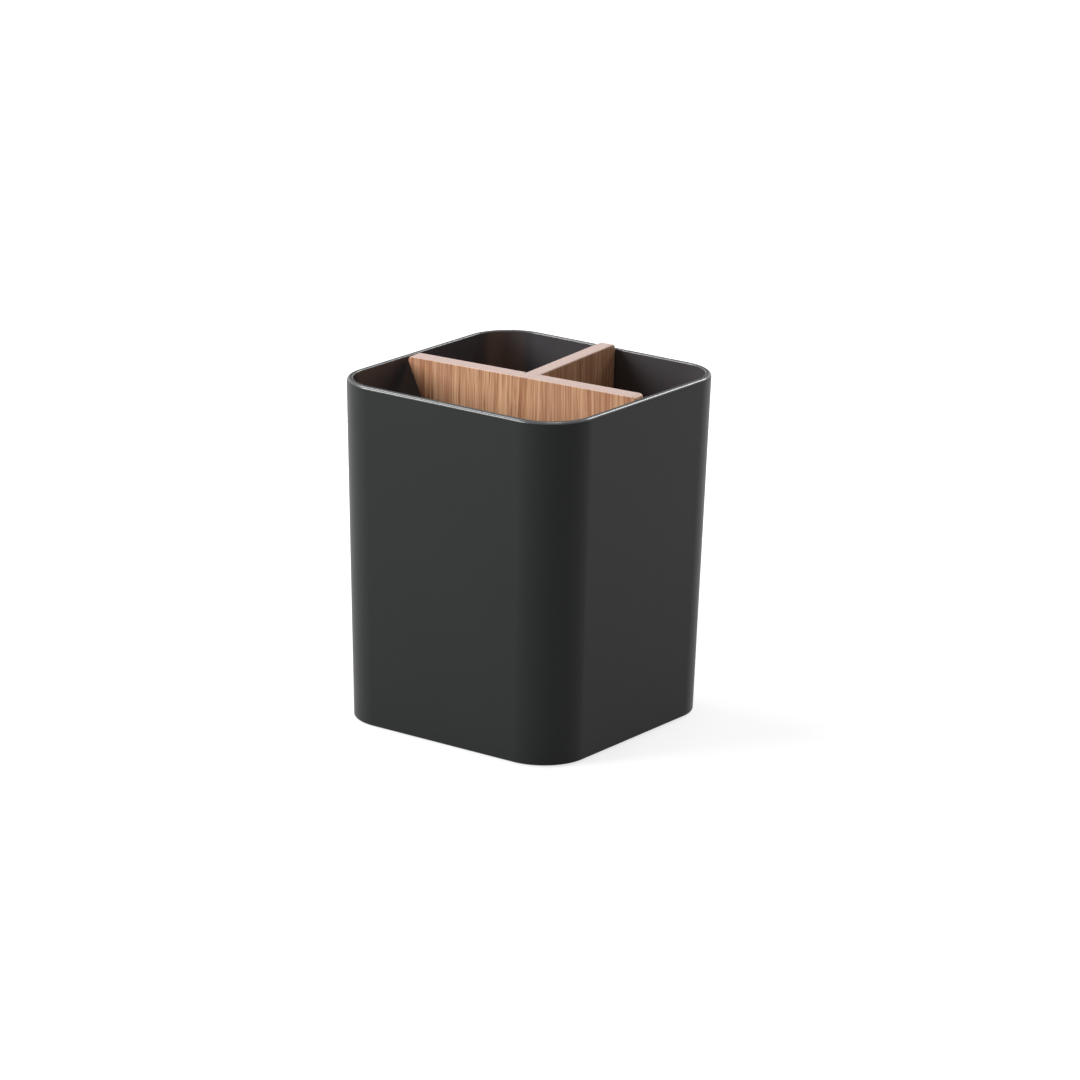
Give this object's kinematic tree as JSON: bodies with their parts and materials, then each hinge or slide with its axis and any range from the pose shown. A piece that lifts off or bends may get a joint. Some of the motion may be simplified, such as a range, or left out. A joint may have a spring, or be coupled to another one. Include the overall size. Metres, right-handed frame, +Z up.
{
  "type": "pen holder cup",
  "caption": "Tapered square pen cup with rounded corners and a loose T-shaped bamboo divider that makes a wide front compartment and narrower back ones.",
  "frame": {"origin": "middle of the base, on the surface that the cup stands on", "axes": "+Z up along the cup's height; the front wall, beside the wide compartment, faces -Y; +X is to the right seen from the front"},
  "size_m": [0.09, 0.09, 0.1117],
  "materials": {
    "cup_plastic": "satin moulded ABS",
    "bamboo": "sanded, clear matt oil",
    "pad_rubber": "matt"
  },
  "bodies": {
    "cup": {"cup_body": "cup_plastic", "foot_pad_front_left": "pad_rubber", "foot_pad_front_right": "pad_rubber", "foot_pad_back_left": "pad_rubber", "foot_pad_back_right": "pad_rubber"},
    "divider": {"divider_long_board": "bamboo", "divider_short_board": "bamboo"}
  },
  "joints": [
    {"name": "divider_lift", "type": "slide", "parent": "cup", "child": "divider", "axis": [0, 0, 1], "range_m": [0, 0.115]}
  ]
}
